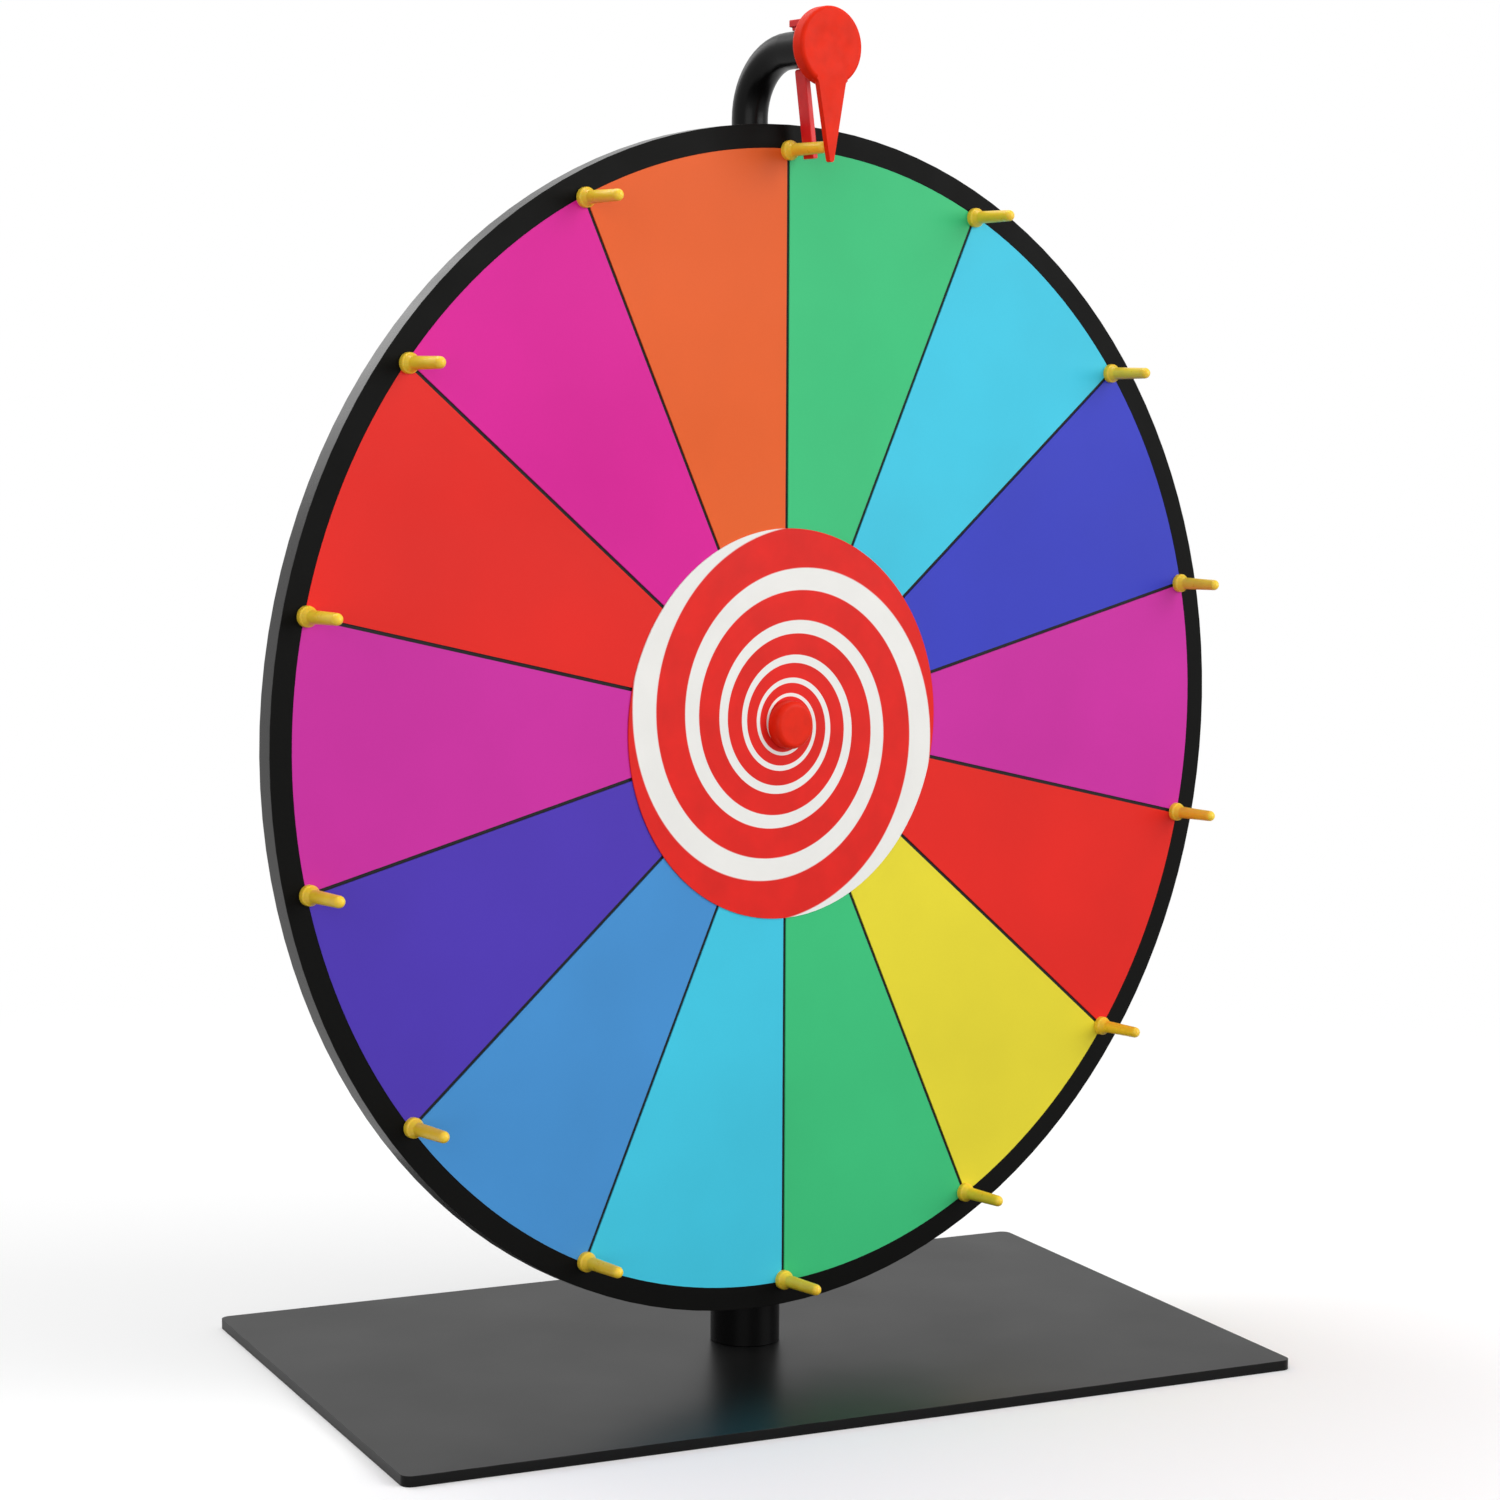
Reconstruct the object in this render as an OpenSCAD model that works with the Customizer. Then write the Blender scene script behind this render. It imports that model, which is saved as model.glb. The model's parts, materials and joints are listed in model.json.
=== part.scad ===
// Tabletop prize wheel on a gooseneck stand: a round board with coloured panels
// and click pegs turns on ball bearings in front of a pole that stands in a plate base.
// Millimetres, +Z up, origin under the middle of the base, front of the base towards -Y.

/* [Base] */
// Width of the base plate, left to right
base_w = 365; // [300:1:460]
// Depth of the base plate, front to back
base_d = 230; // [180:1:300]
// Thickness of the base plate
base_t = 4; // [3.5:0.1:6]
// Radius of the plate's corners
base_corner_r = 4; // [2:0.5:12]

/* [Socket] */
// Outside diameter of the socket that holds the pole
socket_d = 27.5; // [23:0.5:32]
// Height of the socket above the plate
socket_h = 110; // [60:1:160]
// Thickness of the solid floor that the pole stands on
socket_floor = 12; // [10:0.5:20]
// Diameter of the countersunk screws under the socket
socket_screw_d = 4; // [3:0.1:4.2]
// Length of the socket screws, head included
socket_screw_len = 12; // [10:0.5:14]
// Diameter of the circle the socket screws lie on
socket_screw_pcd = 15; // [13:0.5:16]
// Number of socket screws
socket_screw_count = 3; // [2:1:4]

/* [Pole] */
// Outside diameter of the gooseneck pole
pole_d = 14; // [13:0.1:17]
// Wall of the gooseneck pole
pole_wall = 1.5; // [1:0.1:2]
// Radius of the bend, on the pole's axis
bend_r = 24; // [16:0.5:26]
// Height of the pole's level part above the top of the wheel
pole_rise = 27.5; // [24:0.5:36]
// Length of pole left between the flapper's slot and the pointer's plug
pole_end_land = 0.5; // [0.3:0.1:4]
// Angle that the pole is turned to in its socket
swivel = 13.5; // [-180:0.5:180]

/* [Wheel] */
// Outside diameter of the wheel
wheel_d = 457; // [380:1:620]
// Gap between the base plate and the bottom of the wheel
wheel_gap = 19; // [10:0.5:40]
// Thickness of the board
board_t = 6; // [4:0.1:7]
// Thickness of the coloured panels and of the edge trim's lips
skin_t = 0.5; // [0.4:0.05:0.8]
// Width of the edge trim on the face
trim_lip_w = 9; // [6:0.1:14]
// Thickness of the edge trim round the outside of the board
trim_wall = 1.5; // [1:0.1:2.5]
// Number of coloured panels, and of pegs
sector_count = 14; // [8:1:18]
// Width of the dark line between two panels
divider_w = 1.4; // [0.5:0.1:2]
// Diameter of the hole in the middle of the panels
skin_bore_d = 60; // [40:1:80]
// Diameter of the printed centre disc
disc_d = 151; // [100:1:200]
// Thickness of the centre disc
disc_t = 0.5; // [0.4:0.05:0.8]
// Diameter of the hole in the centre disc
disc_bore_d = 17; // [16.5:0.1:18]

/* [Hub] */
// Outside diameter of the hub's boss
hub_boss_d = 28; // [26:0.5:34]
// Diameter of the hub's flange behind the board
hub_flange_d = 64; // [54:1:90]
// Thickness of the hub's flange
hub_flange_t = 3; // [2:0.1:5]
// Thickness of the lip that stops the front bearing
hub_lip_t = 0.8; // [0.6:0.1:1]
// Number of screws through the hub's flange
hub_screw_count = 4; // [3:1:6]
// Diameter of the hub screws
hub_screw_d = 3; // [2.5:0.1:4]
// Thickness of board left in front of the hub screws' tips
hub_screw_cover = 1; // [0.5:0.1:2.5]
// Diameter of the circle the hub screws lie on
hub_screw_pcd = 46; // [42:0.5:50]

/* [Bearings and axle] */
// Outside diameter of a bearing
bearing_d = 22; // [21:0.1:24]
// Width of a bearing
bearing_w = 7; // [6:0.1:7.2]
// Diameter of the balls
ball_d = 3.9; // [3.4:0.1:4.2]
// Number of balls in each bearing
ball_count = 7; // [5:1:8]
// Diameter of the axle bolt
axle_d = 8; // [7:0.1:8.5]
// Thickness of the axle bolt's head
axle_head_h = 5.3; // [4:0.1:7]
// Width across flats of the axle bolt's head and of its nut
hex_af = 13; // [12:0.1:13.4]
// Height of the lock nut
nut_h = 4; // [3:0.1:6.5]
// Thickness of the washer behind the lock nut
washer_t = 1; // [0.6:0.1:1.2]
// Thickness of the saddle washer at its middle, behind the pole
saddle_t = 2; // [1.5:0.1:4]
// Thickness of the spacer at its thinnest, between the bearings and the pole
spacer_t = 1.4; // [0.6:0.1:8]
// Outside diameter of the spacer and of the washers
spacer_d = 11; // [10:0.1:11.5]
// Outside diameter of the cap on the lock nut
cap_d = 18.5; // [17.5:0.1:24]
// Thickness of the cap's face in front of the axle bolt
cap_face_t = 1.9; // [1:0.1:5]
// Radius of the cap's front edge
cap_edge_r = 2.2; // [0.6:0.1:2.6]

/* [Pegs] */
// Length of a peg in front of the wheel's face
peg_len = 22.5; // [16:0.5:28]
// Diameter of a peg's shaft at its foot
peg_d = 4.9; // [4.4:0.1:7]
// Diameter of a peg's shaft at its tip
peg_tip_d = 4.4; // [3.6:0.1:6]
// Diameter of the flange at a peg's foot
peg_flange_d = 7.6; // [7:0.1:11]
// Thickness of the flange at a peg's foot
peg_flange_t = 2.6; // [1.5:0.1:4]
// Height of the cone that leads from a peg's flange into its shaft
peg_root_h = 1.6; // [0.8:0.1:3]
// Distance from the edge trim's inner edge to the pegs' centres
peg_inset = 0.7; // [0:0.1:6]
// Diameter of the screws that hold the pegs
peg_screw_d = 2.5; // [2:0.1:3]
// Length of the peg screws that goes into the pegs
peg_screw_grip = 9; // [6:0.5:12]

/* [Pointer] */
// Diameter of the pointer's round head
pointer_head_d = 29.5; // [24:0.5:36]
// Thickness of the pointer's head
pointer_head_t = 6.5; // [4.5:0.1:12]
// Radius of the edges of the pointer's head
pointer_edge_r = 1.6; // [0.5:0.1:3]
// Depth of the shallow dish in the pointer's face
pointer_dish = 0.4; // [0.2:0.1:1]
// Width of the pointer's spike where it starts, inside the head
spike_w = 14; // [8:0.5:16]
// Width of the pointer's spike at its tip
spike_tip_w = 2.2; // [1:0.1:4]
// Thickness of the pointer's spike
spike_t = 2.4; // [2:0.1:4]
// Radius of the fillets where the spike leaves the head
spike_fillet_r = 2; // [1:0.1:6]
// Gap between the tips of the pegs and the pointer's spike
spike_clear = 1; // [0.8:0.1:4]
// Distance of the spike's tip below the top of the wheel
spike_drop = 15.5; // [8:0.5:20]
// Length of the pointer's plug inside the pole
plug_len = 4.5; // [3:0.1:5]

/* [Flapper] */
// Thickness of the flapper strip
flapper_t = 2.4; // [1.5:0.1:3]
// Width of the flapper strip, front to back
flapper_w = 6; // [4:0.1:7]
// Gap between the feet of the pegs and the back edge of the strip
flapper_gap = 0.6; // [0.3:0.1:5]
// Distance of the strip's free end below the middle of the top peg
flapper_below_peg = 3.4; // [3:0.1:12]
// Overhang of the flapper's head past the strip, all round
flapper_head_over = 1.6; // [1.5:0.1:2.5]
// Height of the flapper's head
flapper_head_h = 2.7; // [2:0.1:6]
// Overhang of the neck under the flapper's head past the strip, all round
flapper_neck_over = 0.8; // [0.5:0.1:1.5]
// Height of the neck, from the top of the pole to the flapper's head
flapper_neck_h = 1.3; // [0.5:0.1:3]

/* [Clearances] */
// Radial clearance of a piece that turns in another
running_gap = 0.05; // [0.02:0.01:0.08]
// Clearance of a piece that seats in another
seat_gap = 0.02; // [0.01:0.01:0.05]
// Air between pieces that move past each other
air_gap = 0.3; // [0.2:0.05:0.5]

/* [Hidden] */
$fn = 96;
// Screw heads, as shares of the screws' own diameters
socket_head_r = socket_screw_d;
socket_head_h = socket_screw_d * 0.55;
socket_key_af = socket_screw_d * 0.62;
head_recess = 0.2;
pan_head_r = 0.95;
pan_head_h = 0.65;
pan_edge_r = 0.35;
cross_w = 0.22;
cross_span = 1.05;
cross_depth = 0.4;
// Depths inside the wheel run along local z: 0 is the wheel's face, positive is in front.
wheel_r = wheel_d / 2;
hub_z = base_t + wheel_gap + wheel_r;
board_front = -skin_t;
board_back = board_front - board_t;
wheel_back = board_back - skin_t;
flange_back = board_back - hub_flange_t;
board_r = wheel_r - trim_wall;
lip_r = wheel_r - trim_lip_w;
peg_circle_r = lip_r - peg_inset;
sector_angle = 360 / sector_count;
// Bearings, spacer and pole, one behind the other
bearing_front = board_front - hub_lip_t;
bearing_mid = bearing_front - bearing_w;
bearing_back = bearing_mid - air_gap - bearing_w;
ball_ring_r = (axle_d + bearing_d) / 4;
groove_r = ball_d / 2 + running_gap;
land_depth = ball_d / 8;
inner_race_r = ball_ring_r - groove_r + land_depth;
outer_race_r = ball_ring_r + groove_r - land_depth;
lip_bore_r = outer_race_r + air_gap;
pole_r = pole_d / 2;
// The pole stands back far enough for its socket to clear the heads of the peg screws
socket_offset = socket_d / 2 + air_gap + peg_screw_d * pan_head_h - wheel_back;
pole_offset = max(pole_r + spacer_t - bearing_back, socket_offset);
pole_bore_r = pole_r - pole_wall;
saddle_back = -pole_offset - pole_r - saddle_t;
washer_front = bearing_front + washer_t;
nut_front = washer_front + nut_h;
axle_proud = 0.6;
axle_tip = nut_front + axle_proud;
cap_back = disc_t + air_gap;
cap_floor = axle_tip + air_gap;
cap_front = cap_floor + cap_face_t;
bolt_gap = 0.1;
// Round shoulder of a peg's flange: the most of the flange that it takes up, and its angle
flange_round = 0.6;
flange_round_angle = 50;
peg_widest_r = max(peg_d, peg_tip_d) / 2;
// Pole, pointer and flapper, with the middle of the flapper strip at flapper_front
flapper_front = peg_flange_t + peg_root_h + flapper_gap + flapper_w / 2;
slot_front = flapper_front + flapper_w / 2 + running_gap;
spike_back = peg_len + spike_clear;
pole_reach = max(spike_back + spike_t - pointer_head_t, slot_front + pole_end_land + plug_len);
pointer_front = pole_reach + pointer_head_t;
pole_foot = base_t + socket_floor;
level_y = wheel_r + pole_rise;
knuckle_r = flapper_t / 2;
pivot_y = level_y - pole_r - air_gap - knuckle_r;
flapper_lean = asin((peg_widest_r + knuckle_r + air_gap) / (pivot_y - peg_circle_r));
blade_len = (pivot_y - peg_circle_r + flapper_below_peg) / cos(flapper_lean);
// The spike's flanks start on the circle inside the head where its rounded edge begins
spike_top = sqrt(pow(pointer_head_d / 2 - pointer_edge_r, 2) - pow(spike_w / 2, 2));
cut = 1;

sector_colours = [
    [0.24, 0.77, 0.48], [0.28, 0.78, 0.90], [0.26, 0.28, 0.75], [0.80, 0.20, 0.64], [0.91, 0.22, 0.18],
    [0.92, 0.86, 0.24], [0.28, 0.75, 0.45], [0.28, 0.79, 0.90], [0.28, 0.57, 0.83], [0.33, 0.25, 0.71],
    [0.78, 0.20, 0.62], [0.90, 0.17, 0.14], [0.86, 0.16, 0.61], [0.92, 0.41, 0.22]
];
black = [0.10, 0.10, 0.11];
steel = [0.72, 0.73, 0.75];
red = [0.95, 0.22, 0.16];
yellow = [0.93, 0.76, 0.18];

function two_digits(i) = i < 10 ? str("0", i) : str(i);
function sector_name(i) = str("sector_", two_digits(i));
function peg_name(i) = str("peg_", two_digits(i));

// Points on an arc, for profiles with a round edge
function arc(x, y, r, from, to, steps = 8) =
    [for (i = [0:steps]) let (a = from + (to - from) * i / steps) [x + r * cos(a), y + r * sin(a)]];

function rounded_rectangle(w, d, r) = concat(
    arc(w / 2 - r, d / 2 - r, r, 0, 90), arc(r - w / 2, d / 2 - r, r, 90, 180),
    arc(r - w / 2, r - d / 2, r, 180, 270), arc(w / 2 - r, r - d / 2, r, 270, 360));

// Placement
// Turned with the pole, x to the right and y up as seen from the wheel's front, z to the front
module at_hub() {
    rotate([0, 0, swivel]) translate([0, -pole_offset, hub_z]) rotate([90, 0, 0]) children();
}

module around(count, r, start = 0) {
    for (i = [0:count - 1]) rotate([0, 0, start + i * 360 / count]) translate([r, 0, 0]) children();
}

// A cylinder between two depths
module span(from, to, r, faces = $fn) {
    translate([0, 0, min(from, to)]) cylinder(h = abs(to - from), r = r, $fn = faces);
}

module tube(from, to, r_out, r_in) {
    difference() {
        span(from, to, r_out);
        span(min(from, to) - cut, max(from, to) + cut, r_in);
    }
}

module hexagon(from, to, across_flats) {
    span(from, to, across_flats / 2 / cos(30), 6);
}

// A pan head with a cross recess, standing back from depth z, for a screw of diameter d
module pan_head(z, d) {
    r = d * pan_head_r;
    h = d * pan_head_h;
    edge = d * pan_edge_r;
    translate([0, 0, z]) mirror([0, 0, 1]) difference() {
        rotate_extrude() polygon(concat([[0, 0], [r, 0]], arc(r - edge, h - edge, edge, 0, 90), [[0, h]]));
        for (turn = [0, 90]) rotate([0, 0, turn]) translate([0, 0, h])
            cube([d * cross_span, d * cross_w, 2 * d * cross_depth], center = true);
    }
}

// The places of the pegs, from the top of the wheel round clockwise
module at_peg(i) {
    rotate([0, 0, 90 - (i - 1) * sector_angle]) translate([peg_circle_r, 0, 0]) children();
}

module peg_holes() {
    for (i = [1:sector_count]) at_peg(i) span(wheel_back - cut, cut, peg_screw_d / 2 + running_gap);
}

// The pole's upright part as seen from the hub, a little larger by gap
module upright_at_hub(gap) {
    translate([0, 0, -pole_offset]) rotate([90, 0, 0])
        cylinder(h = 4 * pole_d, r = pole_r + gap, center = true);
}

// Base
module socket_screw_shape(gap) {
    translate([0, 0, head_recess]) {
        cylinder(h = socket_screw_len, r = socket_screw_d / 2 + gap);
        cylinder(h = socket_head_h, r1 = socket_head_r + gap, r2 = socket_screw_d / 2 + gap);
    }
}

module base_plate() {
    color(black) difference() {
        linear_extrude(base_t) polygon(rounded_rectangle(base_w, base_d, base_corner_r));
        around(socket_screw_count, socket_screw_pcd / 2) {
            socket_screw_shape(seat_gap);
            translate([0, 0, -cut]) cylinder(h = head_recess + cut, r = socket_head_r + seat_gap);
        }
    }
}

module post_socket() {
    color(black) difference() {
        translate([0, 0, base_t]) cylinder(h = socket_h, r = socket_d / 2);
        translate([0, 0, pole_foot]) cylinder(h = socket_h, r = pole_r + running_gap);
        around(socket_screw_count, socket_screw_pcd / 2) socket_screw_shape(seat_gap);
    }
}

module socket_screws() {
    color(steel) around(socket_screw_count, socket_screw_pcd / 2) difference() {
        socket_screw_shape(0);
        cylinder(h = socket_head_h, r = socket_key_af / 2 / cos(30), $fn = 6);
    }
}

// Pole
module gooseneck_run(r) {
    upright = hub_z + level_y - bend_r - pole_foot;
    translate([0, 0, pole_foot]) cylinder(h = upright, r = r);
    translate([0, -bend_r, pole_foot + upright]) rotate([90, 0, 90])
        rotate_extrude(angle = 90) translate([bend_r, 0]) circle(r = r);
    translate([0, -bend_r, hub_z + level_y]) rotate([90, 0, 0])
        cylinder(h = pole_offset + pole_reach - bend_r, r = r);
}

module flapper_slot() {
    translate([0, level_y, flapper_front])
        cube([flapper_t + 2 * running_gap, 2 * pole_d, flapper_w + 2 * running_gap], center = true);
}

module gooseneck_pole() {
    color(black) difference() {
        rotate([0, 0, swivel]) difference() {
            gooseneck_run(pole_r);
            gooseneck_run(pole_bore_r);
            translate([0, 0, pole_foot - cut]) cylinder(h = 2 * cut, r = pole_bore_r);
            translate([0, -pole_offset - pole_reach + cut, hub_z + level_y]) rotate([90, 0, 0])
                cylinder(h = 2 * cut, r = pole_bore_r);
        }
        at_hub() {
            flapper_slot();
            span(saddle_back, 0, axle_d / 2 + bolt_gap);
        }
    }
}

// Axle
module axle_bolt() {
    color(steel) at_hub() {
        span(saddle_back, axle_tip, axle_d / 2);
        hexagon(saddle_back - axle_head_h, saddle_back, hex_af);
    }
}

module saddle_washer() {
    color(steel) at_hub() difference() {
        tube(saddle_back, -pole_offset, spacer_d / 2, axle_d / 2 + bolt_gap);
        upright_at_hub(seat_gap);
    }
}

module axle_spacer() {
    color(steel) at_hub() difference() {
        tube(-pole_offset, bearing_back, spacer_d / 2, axle_d / 2 + bolt_gap);
        upright_at_hub(seat_gap);
    }
}

module front_washer() {
    color(steel) at_hub() tube(bearing_front, washer_front, spacer_d / 2, axle_d / 2 + bolt_gap);
}

module lock_nut() {
    color(steel) at_hub() difference() {
        hexagon(washer_front, nut_front, hex_af);
        span(washer_front - cut, nut_front + cut, axle_d / 2 + seat_gap);
    }
}

module hub_cap() {
    edge = arc(cap_d / 2 - cap_edge_r, cap_front - cap_edge_r, cap_edge_r, 0, 90);
    color(red) at_hub() difference() {
        rotate_extrude() polygon(concat([[0, cap_back], [cap_d / 2, cap_back]], edge, [[0, cap_front]]));
        hexagon(cap_back - cut, cap_floor, hex_af + 2 * seat_gap);
    }
}

// Bearings
module ball_groove(back) {
    translate([0, 0, back + bearing_w / 2]) rotate_extrude() translate([ball_ring_r, 0]) circle(r = groove_r);
}

module bearing_inner_races() {
    color(steel) at_hub() for (back = [bearing_mid, bearing_back]) difference() {
        tube(back, back + bearing_w, inner_race_r, axle_d / 2 + seat_gap);
        ball_groove(back);
    }
}

module bearing_outer_races() {
    color(steel) at_hub() for (back = [bearing_mid, bearing_back]) difference() {
        tube(back, back + bearing_w, bearing_d / 2, outer_race_r);
        ball_groove(back);
    }
}

module bearing_balls() {
    color(steel) at_hub() for (back = [bearing_mid, bearing_back])
        translate([0, 0, back + bearing_w / 2]) around(ball_count, ball_ring_r) sphere(d = ball_d);
}

// Wheel
module hub_housing() {
    color(black) at_hub() difference() {
        union() {
            span(bearing_back, board_front, hub_boss_d / 2);
            span(flange_back, board_back, hub_flange_d / 2);
        }
        span(bearing_back - cut, bearing_front, bearing_d / 2 + seat_gap);
        span(bearing_front - cut, board_front + cut, lip_bore_r);
        at_hub_screws() hub_screw_shank(seat_gap);
    }
}

module at_hub_screws() {
    around(hub_screw_count, hub_screw_pcd / 2, 180 / hub_screw_count) children();
}

module hub_screw_shank(gap) {
    span(flange_back, board_front - hub_screw_cover, hub_screw_d / 2 + gap);
}

module hub_screws() {
    color(steel) at_hub() at_hub_screws() {
        hub_screw_shank(0);
        pan_head(flange_back, hub_screw_d);
    }
}

module wheel_board() {
    color(black) at_hub() difference() {
        span(board_back, board_front, board_r - seat_gap);
        span(board_back - cut, board_front + cut, hub_boss_d / 2 + seat_gap);
        at_hub_screws() hub_screw_shank(seat_gap);
        peg_holes();
    }
}

module rim_trim() {
    color(black) at_hub() difference() {
        rotate_extrude() polygon([
            [lip_r, 0], [wheel_r, 0], [wheel_r, wheel_back], [lip_r, wheel_back],
            [lip_r, board_back], [board_r, board_back], [board_r, board_front], [lip_r, board_front]]);
        peg_holes();
    }
}

// One coloured panel, with straight edges half a dark line away from its neighbours
module sector(i) {
    half = sector_angle / 2;
    apex = divider_w / 2 / sin(half);
    reach = wheel_r / cos(half);
    color(sector_colours[(i - 1) % len(sector_colours)]) at_hub() difference() {
        intersection() {
            tube(board_front, 0, lip_r - seat_gap, skin_bore_d / 2);
            rotate([0, 0, 90 - (i - 0.5) * sector_angle]) translate([apex, 0, board_front - cut])
                linear_extrude(skin_t + 2 * cut)
                    polygon([[0, 0], reach * [cos(half), -sin(half)], reach * [cos(half), sin(half)]]);
        }
        peg_holes();
    }
}

module centre_disc() {
    color(red) at_hub() tube(0, disc_t, disc_d / 2, disc_bore_d / 2);
}

// Pegs
module peg(i) {
    tip_r = peg_tip_d / 2;
    flange_r = peg_flange_d / 2;
    flange_edge = min(flange_r - peg_d / 2, peg_flange_t * flange_round);
    profile = concat([[0, 0], [flange_r, 0]],
        arc(flange_r - flange_edge, peg_flange_t - flange_edge, flange_edge, 0, flange_round_angle, 6),
        [[peg_d / 2, peg_flange_t + peg_root_h]],
        arc(0, peg_len - tip_r, tip_r, 0, 90));
    color(yellow) at_hub() at_peg(i) difference() {
        rotate_extrude() polygon(profile);
        span(-cut, peg_screw_grip + seat_gap, peg_screw_d / 2 + seat_gap);
    }
}

module peg_screws() {
    color(steel) at_hub() for (i = [1:sector_count]) at_peg(i) {
        pan_head(wheel_back, peg_screw_d);
        span(wheel_back, peg_screw_grip, peg_screw_d / 2);
    }
}

// Pointer and flapper
// The spike's outline below the middle of the head, with a round tip and a fillet beside each flank
function spike_outline() =
    let (head_r = pointer_head_d / 2,
         tip_r = spike_tip_w / 2,
         root = [spike_w / 2, -spike_top],
         tip = [tip_r, wheel_r - spike_drop - level_y + tip_r],
         flank = (tip - root) / norm(tip - root),
         outward = [-flank.y, flank.x],
         beside = root + outward * spike_fillet_r,
         reach = head_r + spike_fillet_r,
         b = beside * flank,
         centre = beside + flank * (sqrt(b * b - beside * beside + reach * reach) - b),
         fillet = arc(centre.x, centre.y, spike_fillet_r, atan2(-centre.y, -centre.x),
                      atan2(-outward.y, -outward.x)),
         side = concat([root], fillet, arc(0, tip.y, tip_r, 0, -90, 4)))
    concat(side, [for (i = [len(side) - 2:-1:0]) [-side[i].x, side[i].y]]);

module pointer() {
    head_r = pointer_head_d / 2;
    side = head_r - pointer_edge_r;
    dish_rim = side - pointer_edge_r;
    dish_r = (dish_rim * dish_rim + pointer_dish * pointer_dish) / 2 / pointer_dish;
    profile = concat([[0, pole_reach]],
        arc(side, pole_reach + pointer_edge_r, pointer_edge_r, -90, 0),
        arc(side, pointer_front - pointer_edge_r, pointer_edge_r, 0, 90),
        [[0, pointer_front]]);
    color(red) at_hub() difference() {
        union() {
            translate([0, level_y, 0]) rotate_extrude() polygon(profile);
            translate([0, level_y, 0]) span(pole_reach - plug_len, pole_reach + cut, pole_bore_r - seat_gap);
            translate([0, level_y, pointer_front - spike_t]) linear_extrude(spike_t) polygon(spike_outline());
        }
        translate([0, level_y, pointer_front - pointer_dish + dish_r]) sphere(r = dish_r, $fn = 192);
    }
}

module flapper_head() {
    color(red) at_hub() {
        flapper_block(level_y - pole_r, pole_d + flapper_neck_h, 0);
        flapper_block(level_y + pole_r, flapper_neck_h + flapper_head_h / 2, flapper_neck_over);
        flapper_block(level_y + pole_r + flapper_neck_h, flapper_head_h, flapper_head_over);
    }
}

// A block on the line of the flapper strip, wider than the strip by over on each side
module flapper_block(bottom, height, over) {
    wide = flapper_t + 2 * over;
    long = flapper_w + 2 * over;
    translate([-wide / 2, bottom, flapper_front - long / 2]) cube([wide, height, long]);
}

// The free length of the strip, leaning on the right of the top peg
module flapper_blade() {
    color(red) at_hub() translate([0, pivot_y, flapper_front]) rotate([0, 0, flapper_lean]) {
        cylinder(h = flapper_w, r = knuckle_r, center = true);
        translate([-knuckle_r, -blade_len, -flapper_w / 2]) cube([flapper_t, blade_len, flapper_w]);
    }
}

base_plate();
post_socket();
socket_screws();
gooseneck_pole();
axle_bolt();
saddle_washer();
axle_spacer();
bearing_inner_races();
bearing_balls();
front_washer();
lock_nut();
hub_cap();
pointer();
flapper_head();
flapper_blade();
wheel_board();
rim_trim();
hub_housing();
hub_screws();
bearing_outer_races();
centre_disc();
peg_screws();
for (i = [1:sector_count]) sector(i);
for (i = [1:sector_count]) peg(i);
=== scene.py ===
import json
import math
from functools import cached_property

import bpy
from mathutils import Matrix, Vector


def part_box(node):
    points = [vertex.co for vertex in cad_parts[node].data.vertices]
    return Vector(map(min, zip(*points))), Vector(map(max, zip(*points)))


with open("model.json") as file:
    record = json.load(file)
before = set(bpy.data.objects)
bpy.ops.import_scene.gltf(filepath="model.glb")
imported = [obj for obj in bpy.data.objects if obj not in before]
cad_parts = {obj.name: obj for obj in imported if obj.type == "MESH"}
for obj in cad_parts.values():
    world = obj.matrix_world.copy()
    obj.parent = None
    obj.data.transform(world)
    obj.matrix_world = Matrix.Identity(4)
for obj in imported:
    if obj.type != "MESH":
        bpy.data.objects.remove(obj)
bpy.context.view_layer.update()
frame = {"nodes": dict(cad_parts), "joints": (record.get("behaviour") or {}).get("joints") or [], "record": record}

# Lengths are metres, angles are degrees, colours are sRGB from 0 to 255.
MM = 0.001
NODES = frame["nodes"]
JOINTS = {joint["name"]: joint for joint in frame["joints"]}

# The wheel's own directions, as seen by someone who stands in front of it
HUB = Vector(JOINTS["wheel_spin"]["pos_m"])
FRONT = Vector(JOINTS["wheel_spin"]["axis"])
UP = Vector((0, 0, 1))
RIGHT = UP.cross(FRONT)

# Camera, placed from the hub
CAMERA_AZIMUTH = -24.73
CAMERA_ELEVATION = 5.63
CAMERA_ROLL = 0.24
CAMERA_DISTANCE = 1.3129
CAMERA_SIDE = -0.0138
CAMERA_RISE = -0.0100
SENSOR_WIDTH_MM = 36
LENS_MM = 81.6

# Light: the strength of the surroundings, then each lamp's place, width and power in watts
WHITE = (1, 1, 1, 1)
AMBIENT = 0.50
LAMPS = {
    "key": ((2.20, -2.00, 1.30), 2.2, 61),
    "fill": ((-1.30, -2.10, 0.40), 1.8, 22),
    "top": ((-0.30, 0.60, 2.20), 1.6, 22),
    "back": ((-0.90, 2.10, 1.55), 1.2, 9),
}

# Floor: its colour as seen and as it throws light back, and where it runs out into white
FLOOR_SIZE = 12
FLOOR_COLOUR = (251, 251, 251)
FLOOR_BOUNCE = (137, 137, 137)
FLOOR_ROUGHNESS = 0.9
FLOOR_FADE_FROM = 0.25
FLOOR_FADE_TO = 0.9

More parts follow.
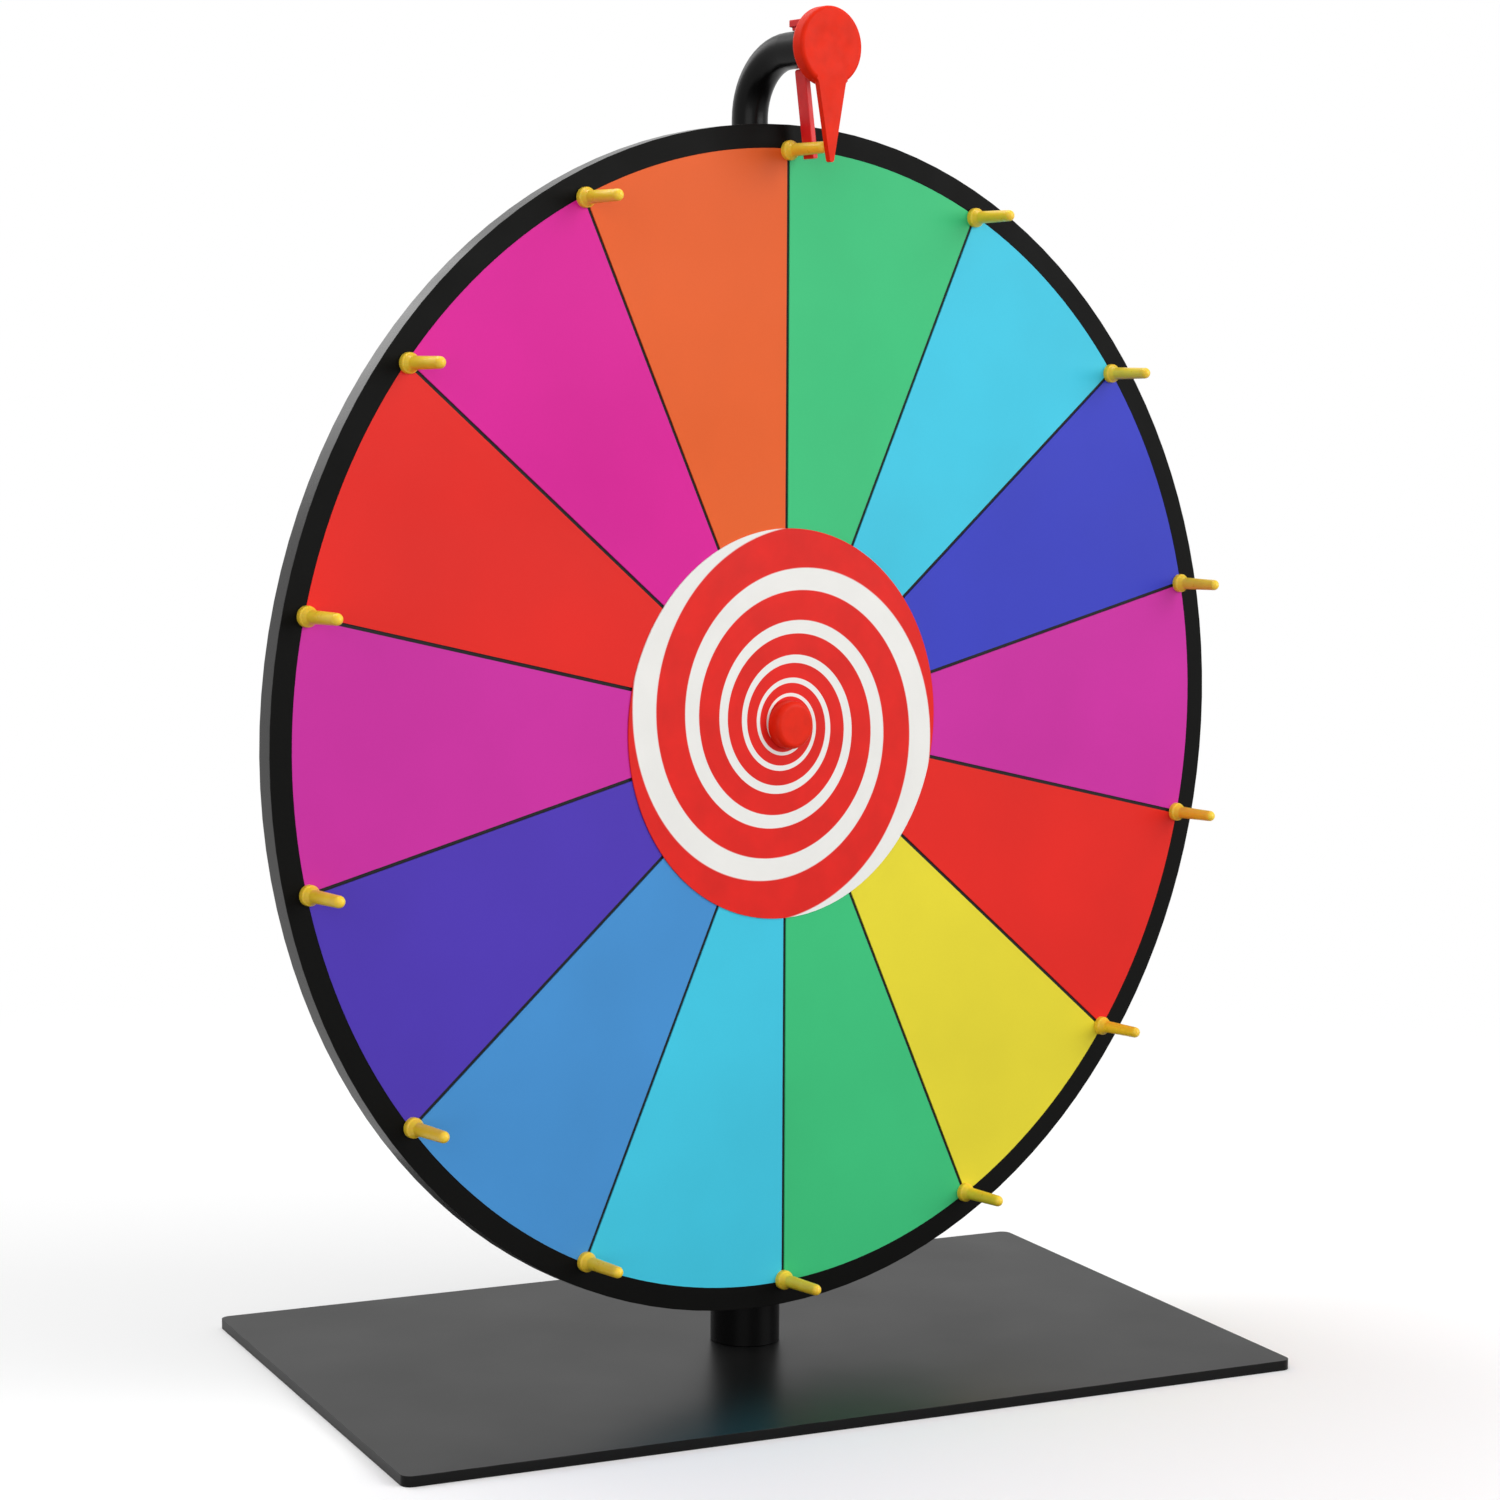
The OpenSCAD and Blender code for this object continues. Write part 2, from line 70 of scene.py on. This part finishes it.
# Printed film: the panels' colours by material slot, the disc's two inks, and the skin of both
PANEL_COLOURS = {
    "panel_green": (60, 192, 123),
    "panel_cyan": (66, 199, 227),
    "panel_royal_blue": (58, 65, 190),
    "panel_magenta": (202, 46, 160),
    "panel_red": (227, 38, 30),
    "panel_yellow": (231, 216, 54),
    "panel_mid_blue": (70, 144, 208),
    "panel_indigo": (78, 56, 178),
    "panel_pink": (216, 27, 150),
    "panel_orange": (227, 95, 38),
}
PRINT_RED = (224, 36, 29)
PRINT_WHITE = (238, 237, 233)
FILM_ROUGHNESS = 0.41
FILM_SPECULAR = 0.12

# The swirl: two white arms that wind in as logarithmic spirals
SWIRL_ARMS = 2
SWIRL_RATIO = 1.488
SWIRL_START = 0.892
SWIRL_WHITE_INSIDE = 0.26
SWIRL_WHITE_OUTSIDE = 0.408
SWIRL_EDGE = 0.012

# The other materials by slot; the board's back and the rim's outer wall are second finishes on two nodes, and the
# board's back finish is its black painted lighter, as painted light that lifts the back out of shade
POWDER_COATS = {
    "base_coat": dict(colour=(13, 13, 13), worn=(52, 51, 51), roughness=0.36, specular=0.12),
    "pole_coat": dict(colour=(6, 6, 6), worn=(40, 40, 41), roughness=0.28, specular=0.12),
}
MOULDINGS = {
    "pointer_red": dict(colour=(229, 43, 16), roughness=0.45, specular=0.08, glow=0.1),
    "flapper_red": dict(colour=(222, 32, 36), roughness=0.38, specular=0.30, glow=0.1),
    "cap_red": dict(colour=(227, 38, 12), roughness=0.42, specular=0.12, glow=0.1),
    "peg_yellow": dict(colour=(254, 208, 56), roughness=0.32, specular=0.35, glow=0.2),
}
BLACK_PLASTICS = {
    "board_black": dict(colour=(21, 21, 22), roughness=0.55, specular=0.15, grain=1.2 * MM),
    # The board's back: the same black sheet painted lighter than its front, painted light for the shade behind the
    # wheel
    "board_back": dict(colour=(44, 44, 46), roughness=0.60, specular=0.15, grain=1.2 * MM),
    "trim_black": dict(colour=(12, 12, 11), roughness=0.42, specular=0.04, grain=0.8 * MM),
    "trim_side": dict(colour=(18, 17, 16), roughness=0.27, specular=0.45, grain=3.0 * MM),
    "hub_black": dict(colour=(20, 20, 21), roughness=0.50, specular=0.20, grain=0.6 * MM),
}
METALS = {
    "zinc_steel": dict(colour=(200, 203, 206), roughness=0.32, stretch=(1, 1, 6)),
    "bearing_steel": dict(colour=(208, 210, 214), roughness=0.22, stretch=(1, 6, 1)),
}

# The values between which noise mostly lies
NOISE_LOW = 0.3
NOISE_HIGH = 0.7

# Worn edges: cosine of the angle between flat and rounded normal, where wear starts and is full
WEAR_STARTS = 0.995
WEAR_FULL = 0.85
WEAR_SAMPLES = 4

# Rounding of hard edges: its width on each node, and what tells an edge from a flat
EDGE_WIDTHS = {
    "base_plate": 0.70 * MM,
    "post_socket": 0.40 * MM,
    "rim_trim": 0.40 * MM,
    "flapper_head": 0.35 * MM,
    "flapper_blade": 0.35 * MM,
    "pointer": 0.35 * MM,
    "axle_bolt": 0.30 * MM,
    "hub_housing": 0.30 * MM,
    "saddle_washer": 0.30 * MM,
    "lock_nut": 0.30 * MM,
}
EDGE_SEGMENTS = 3
EDGE_ANGLE = 40
FLAT_ANGLE = 0.5
WELD_REACH = 0.002 * MM

# Cosine of the angle from the wheel's axis within which a face counts as front or back
FACING = 0.5


# Node helpers
def linear(colour):
    """A colour for a shader socket, from sRGB 0 to 255."""
    parts = [c / 255 for c in colour]
    return [c / 12.92 if c <= 0.04045 else ((c + 0.055) / 1.055) ** 2.4 for c in parts] + [1.0]


def shade(colour, factor):
    return tuple(min(255, c * factor) for c in colour)


class Graph:
    """The nodes of a material or a world, with short calls for the few kinds used here."""

    def __init__(self, owner, shader="Principled BSDF"):
        owner.use_nodes = True
        self.owner = owner
        self.tree = owner.node_tree
        self.shader = self.tree.nodes[shader]

    @cached_property
    def place(self):
        """The object's own coordinates."""
        return self.node("ShaderNodeTexCoord").outputs["Object"]

    def node(self, kind, **settings):
        made = self.tree.nodes.new(kind)
        for key, value in settings.items():
            setattr(made, key, value)
        return made

    def link(self, value, socket):
        """Wires an output to a socket, or sets the socket to a constant."""
        if isinstance(value, bpy.types.NodeSocket):
            self.tree.links.new(value, socket)
        else:
            socket.default_value = value

    def set(self, **sockets):
        """Sets the main shader's sockets, with spaces written as underscores."""
        for key, value in sockets.items():
            self.link(value, self.shader.inputs[key.replace("_", " ")])

    def math(self, operation, a, b=0.0):
        made = self.node("ShaderNodeMath", operation=operation)
        self.link(a, made.inputs[0])
        self.link(b, made.inputs[1])
        return made.outputs[0]

    def dot(self, a, b):
        made = self.node("ShaderNodeVectorMath", operation="DOT_PRODUCT")
        self.link(a, made.inputs[0])
        self.link(b, made.inputs[1])
        return made.outputs["Value"]

    def along(self, direction, origin):
        """Distance from origin along a direction, over the object's own coordinates."""
        offset = self.node("ShaderNodeVectorMath", operation="SUBTRACT")
        self.link(self.place, offset.inputs[0])
        self.link(origin, offset.inputs[1])
        return self.dot(offset.outputs[0], direction)

    def noise(self, size, detail, stretch=(1, 1, 1)):
        """Noise whose features are about size across."""
        scaled = self.node("ShaderNodeMapping")
        self.link(self.place, scaled.inputs["Vector"])
        self.link([s / size for s in stretch], scaled.inputs["Scale"])
        made = self.node("ShaderNodeTexNoise")
        self.link(scaled.outputs[0], made.inputs["Vector"])
        self.link(1.0, made.inputs["Scale"])
        self.link(detail, made.inputs["Detail"])
        return made.outputs["Fac"]

    def ramp(self, value, low, high, to_low=0.0, to_high=1.0, smooth=False):
        """Maps value from one range to another, held at the ends."""
        made = self.node("ShaderNodeMapRange", clamp=True)
        made.interpolation_type = "SMOOTHSTEP" if smooth else "LINEAR"
        for socket, number in zip(("Value", "From Min", "From Max", "To Min", "To Max"),
                                  (value, low, high, to_low, to_high)):
            self.link(number, made.inputs[socket])
        return made.outputs[0]

    def spread(self, noise, to_low=0.0, to_high=1.0):
        """Stretches noise over a range."""
        return self.ramp(noise, NOISE_LOW, NOISE_HIGH, to_low, to_high)

    def mix(self, factor, a, b):
        made = self.node("ShaderNodeMix", data_type="RGBA")
        self.link(factor, made.inputs["Factor"])
        self.link(a, made.inputs["A"])
        self.link(b, made.inputs["B"])
        return made.outputs["Result"]

    def mottled(self, colour, drift, size):
        """A colour that drifts a little lighter and darker over patches of the given size."""
        low = linear(shade(colour, 1 - drift))
        high = linear(shade(colour, 1 + drift))
        return self.mix(self.spread(self.noise(size, detail=3)), low, high)

    def edge(self, radius):
        """1 on worn outer edges and 0 on flats, from how far a rounded normal turns."""
        rounded = self.node("ShaderNodeBevel", samples=WEAR_SAMPLES)
        self.link(radius, rounded.inputs["Radius"])
        flat = self.node("ShaderNodeNewGeometry")
        turned = self.dot(rounded.outputs[0], flat.outputs["Normal"])
        return self.ramp(turned, WEAR_STARTS, WEAR_FULL)

    def gloss(self, noise, roughness, drift, specular):
        """Sets the strength of the gloss, and a roughness that drifts with the noise."""
        self.set(Roughness=self.spread(noise, roughness - drift, roughness + drift))
        self.set(Specular_IOR_Level=specular)

    def bump(self, height, distance, strength):
        made = self.node("ShaderNodeBump")
        self.link(strength, made.inputs["Strength"])
        self.link(distance, made.inputs["Distance"])
        self.link(height, made.inputs["Height"])
        self.set(Normal=made.outputs[0])


def material_graph(name):
    return Graph(bpy.data.materials.new(name))


# Materials
def film_skin(graph, streaks):
    """The skin of printed film: gloss that varies with the streaks, and a fine orange peel."""
    graph.gloss(streaks, FILM_ROUGHNESS, drift=0.05, specular=FILM_SPECULAR)
    graph.bump(graph.noise(2.2 * MM, detail=2), distance=0.02 * MM, strength=0.5)


def vinyl(name, colour):
    """Printed write-on film: even ink with a faint drift and grain, and wiped streaks."""
    graph = material_graph(name)
    ink = graph.mottled(colour, drift=0.022, size=70 * MM)
    grain = graph.ramp(graph.noise(0.7 * MM, detail=1), 0.35, 0.65, to_high=0.05)
    graph.set(Base_Color=graph.mix(grain, ink, linear(shade(colour, 0.9))))
    film_skin(graph, graph.noise(45 * MM, detail=4, stretch=(0.35, 0.35, 1)))
    return graph.owner


def swirl_print(name):
    """Red film with the white swirl, worked out from the distance and angle round the hub."""
    graph = material_graph(name)
    x = graph.along(RIGHT, HUB)
    y = graph.along(UP, HUB)
    squares = graph.math("ADD", graph.math("MULTIPLY", x, x), graph.math("MULTIPLY", y, y))
    distance = graph.math("SQRT", squares)
    angle = graph.math("ARCTAN2", y, x)
    low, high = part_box("centre_disc")
    start = SWIRL_START * (high.z - low.z) / 2
    pitch = math.log(SWIRL_RATIO)
    inward = graph.math("LOGARITHM", graph.math("DIVIDE", distance, start), math.e)
    turned = graph.math("MULTIPLY", angle, SWIRL_ARMS * pitch / math.tau)
    arm = graph.math("DIVIDE", graph.math("ADD", inward, turned), pitch)
    # 0 on the middle line of a white arm and 0.5 halfway to the next
    off_middle = graph.math("PINGPONG", arm, 0.5)
    half_width = graph.ramp(distance, 0, start, SWIRL_WHITE_INSIDE / 2, SWIRL_WHITE_OUTSIDE / 2)
    past_edge = graph.math("SUBTRACT", off_middle, half_width)
    white = graph.ramp(past_edge, SWIRL_EDGE, -SWIRL_EDGE, smooth=True)
    red_ink = graph.mottled(PRINT_RED, drift=0.03, size=14 * MM)
    white_ink = graph.mottled(PRINT_WHITE, drift=0.01, size=20 * MM)
    graph.set(Base_Color=graph.mix(white, red_ink, white_ink))
    film_skin(graph, graph.noise(25 * MM, detail=3))
    return graph.owner


def powder_coat(name, colour, worn, roughness, specular):
    """Black powder coat: a fine pebbled skin, cloudy gloss, and edges rubbed a little lighter."""
    graph = material_graph(name)
    edges = graph.edge(0.8 * MM)
    patches = graph.ramp(graph.noise(9 * MM, detail=4), 0.4, 0.6)
    rubbed = graph.math("MULTIPLY", edges, patches)
    coat = graph.mottled(colour, drift=0.06, size=1.5 * MM)
    graph.set(Base_Color=graph.mix(rubbed, coat, linear(worn)))
    graph.gloss(graph.noise(60 * MM, detail=4), roughness, drift=0.02, specular=specular)
    graph.bump(graph.noise(0.9 * MM, detail=3), distance=0.03 * MM, strength=0.15)
    return graph.owner


def moulded(name, colour, roughness, specular, glow):
    """Injection-moulded plastic: even colour, a faint flow pattern and a fine spark-eroded skin."""
    graph = material_graph(name)
    graph.set(Base_Color=graph.mottled(colour, drift=0.03, size=6 * MM))
    graph.gloss(graph.noise(4 * MM, detail=3), roughness, drift=0.06, specular=specular)
    graph.set(Subsurface_Weight=glow, Subsurface_Radius=(1.0, 0.5, 0.2), Subsurface_Scale=1.5 * MM)
    graph.bump(graph.noise(0.5 * MM, detail=2), distance=0.01 * MM, strength=0.5)
    return graph.owner


def black_plastic(name, colour, roughness, specular, grain):
    """Black sheet and edging: a grain in colour and height, with dusty, paler patches."""
    graph = material_graph(name)
    dust = graph.ramp(graph.noise(60 * MM, detail=5), 0.45, 0.75, to_high=0.35)
    sheet = graph.mottled(colour, drift=0.1, size=grain)
    graph.set(Base_Color=graph.mix(dust, sheet, linear(shade(colour, 1.5))))
    graph.gloss(graph.noise(20 * MM, detail=3), roughness, drift=0.05, specular=specular)
    graph.bump(graph.noise(grain, detail=2), distance=0.02 * MM, strength=0.4)
    return graph.owner


def plated(name, colour, roughness, stretch):
    """Bright metal: fine lines from turning or rolling, and a slight tarnish."""
    graph = material_graph(name)
    lines = graph.noise(0.6 * MM, detail=3, stretch=stretch)
    graph.set(Base_Color=graph.mottled(colour, drift=0.06, size=5 * MM), Metallic=1.0)
    graph.set(Roughness=graph.spread(lines, roughness - 0.08, roughness + 0.1))
    graph.bump(lines, distance=0.01 * MM, strength=0.4)
    return graph.owner


def make_materials():
    """One material for every slot."""
    made = {slot: vinyl(slot, colour) for slot, colour in PANEL_COLOURS.items()}
    made["disc_print"] = swirl_print("disc_print")
    kinds = ((powder_coat, POWDER_COATS), (moulded, MOULDINGS),
             (black_plastic, BLACK_PLASTICS), (plated, METALS))
    for kind, looks in kinds:
        for slot, look in looks.items():
            made[slot] = kind(slot, **look)
    return made


# Nodes
def dress(materials):
    """Gives every node the material that the record names for it."""
    for row in frame["record"]["subparts"]:
        mesh = NODES[row["node"]].data
        mesh.materials.clear()
        mesh.materials.append(materials[row["material_slot"]])
        for face in mesh.polygons:
            face.use_smooth = True


def refinish(mesh, material, wanted):
    """Gives the wanted faces of a mesh a second material."""
    mesh.materials.append(material)
    for face in mesh.polygons:
        if wanted(face):
            face.material_index = 1


def is_outer_wall(face):
    outward = face.normal.dot(face.center - HUB) > 0
    return outward and abs(face.normal.dot(FRONT)) < FACING


def is_back(face):
    return face.normal.dot(FRONT) < -FACING


def soften(node, width):
    """Rounds a node's hard edges by a small width, over welded and untriangulated faces."""
    weld = node.modifiers.new("weld", "WELD")
    weld.merge_threshold = WELD_REACH
    flats = node.modifiers.new("flats", "DECIMATE")
    flats.decimate_type = "DISSOLVE"
    flats.angle_limit = math.radians(FLAT_ANGLE)
    bevel = node.modifiers.new("edges", "BEVEL")
    bevel.width = width
    bevel.segments = EDGE_SEGMENTS
    bevel.limit_method = "ANGLE"
    bevel.angle_limit = math.radians(EDGE_ANGLE)
    bevel.use_clamp_overlap = True
    normals = node.modifiers.new("normals", "WEIGHTED_NORMAL")
    normals.mode = "FACE_AREA"
    normals.keep_sharp = False


# Stage
def make_camera():
    azimuth = math.radians(CAMERA_AZIMUTH)
    elevation = math.radians(CAMERA_ELEVATION)
    back = Vector((
        math.sin(azimuth) * math.cos(elevation),
        -math.cos(azimuth) * math.cos(elevation),
        math.sin(elevation),
    ))
    right = Vector((math.cos(azimuth), math.sin(azimuth), 0))
    up = back.cross(right)
    roll = Matrix.Rotation(math.radians(CAMERA_ROLL), 3, back)
    right = roll @ right
    up = roll @ up
    data = bpy.data.cameras.new("camera")
    data.sensor_width = SENSOR_WIDTH_MM
    data.lens = LENS_MM
    camera = bpy.data.objects.new("camera", data)
    bpy.context.collection.objects.link(camera)
    turned = Matrix((right, up, back)).transposed().to_4x4()
    spot = HUB + back * CAMERA_DISTANCE + right * CAMERA_SIDE + up * CAMERA_RISE
    camera.matrix_world = Matrix.Translation(spot) @ turned
    bpy.context.scene.camera = camera


def seen_directly(graph):
    """1 for rays from the camera, a mirror or glass, and 0 for the light that falls on things."""
    path = graph.node("ShaderNodeLightPath").outputs
    mirrored = graph.math("MAXIMUM", path["Is Glossy Ray"], path["Is Transmission Ray"])
    return graph.math("MAXIMUM", path["Is Camera Ray"], mirrored)


def make_world():
    """White where it is seen, and dimmer as the light that falls on things."""
    world = bpy.data.worlds.new("studio")
    bpy.context.scene.world = world
    graph = Graph(world, "Background")
    graph.set(Color=WHITE, Strength=graph.ramp(seen_directly(graph), 0, 1, to_low=AMBIENT))


def make_floor():
    """A pale floor that holds the shadow near the part and runs out into the white background."""
    bpy.ops.mesh.primitive_plane_add(size=FLOOR_SIZE)
    floor = bpy.context.object
    floor.name = "floor"
    graph = material_graph("floor")
    bounced = graph.node("ShaderNodeLightPath").outputs["Is Diffuse Ray"]
    graph.set(Base_Color=graph.mix(bounced, linear(FLOOR_COLOUR), linear(FLOOR_BOUNCE)))
    graph.set(Roughness=FLOOR_ROUGHNESS, Specular_IOR_Level=0.0)
    white = graph.node("ShaderNodeEmission")
    reach = graph.node("ShaderNodeVectorMath", operation="LENGTH")
    graph.link(graph.place, reach.inputs[0])
    far = graph.ramp(reach.outputs["Value"], FLOOR_FADE_FROM, FLOOR_FADE_TO, smooth=True)
    blend = graph.node("ShaderNodeMixShader")
    graph.link(graph.math("MULTIPLY", far, seen_directly(graph)), blend.inputs[0])
    graph.link(graph.shader.outputs[0], blend.inputs[1])
    graph.link(white.outputs[0], blend.inputs[2])
    graph.link(blend.outputs[0], graph.tree.nodes["Material Output"].inputs["Surface"])
    floor.data.materials.append(graph.owner)


def softbox(name, spot, size, power):
    """A square area light at spot, aimed at the hub."""
    data = bpy.data.lights.new(name, "AREA")
    data.size = size
    data.energy = power
    light = bpy.data.objects.new(name, data)
    bpy.context.collection.objects.link(light)
    light.location = spot
    light.rotation_euler = (HUB - Vector(spot)).to_track_quat("-Z", "Y").to_euler()


slots = make_materials()
dress(slots)
refinish(NODES["rim_trim"].data, slots["trim_side"], is_outer_wall)
# The board's back faces take the lighter copy of its black: painted light that lifts the shaded back
refinish(NODES["wheel_board"].data, slots["board_back"], is_back)
for name, width in EDGE_WIDTHS.items():
    soften(NODES[name], width)
make_camera()
make_world()
make_floor()
for name, (spot, size, power) in LAMPS.items():
    softbox(name, spot, size, power)

bpy.context.scene.view_settings.view_transform = "Standard"
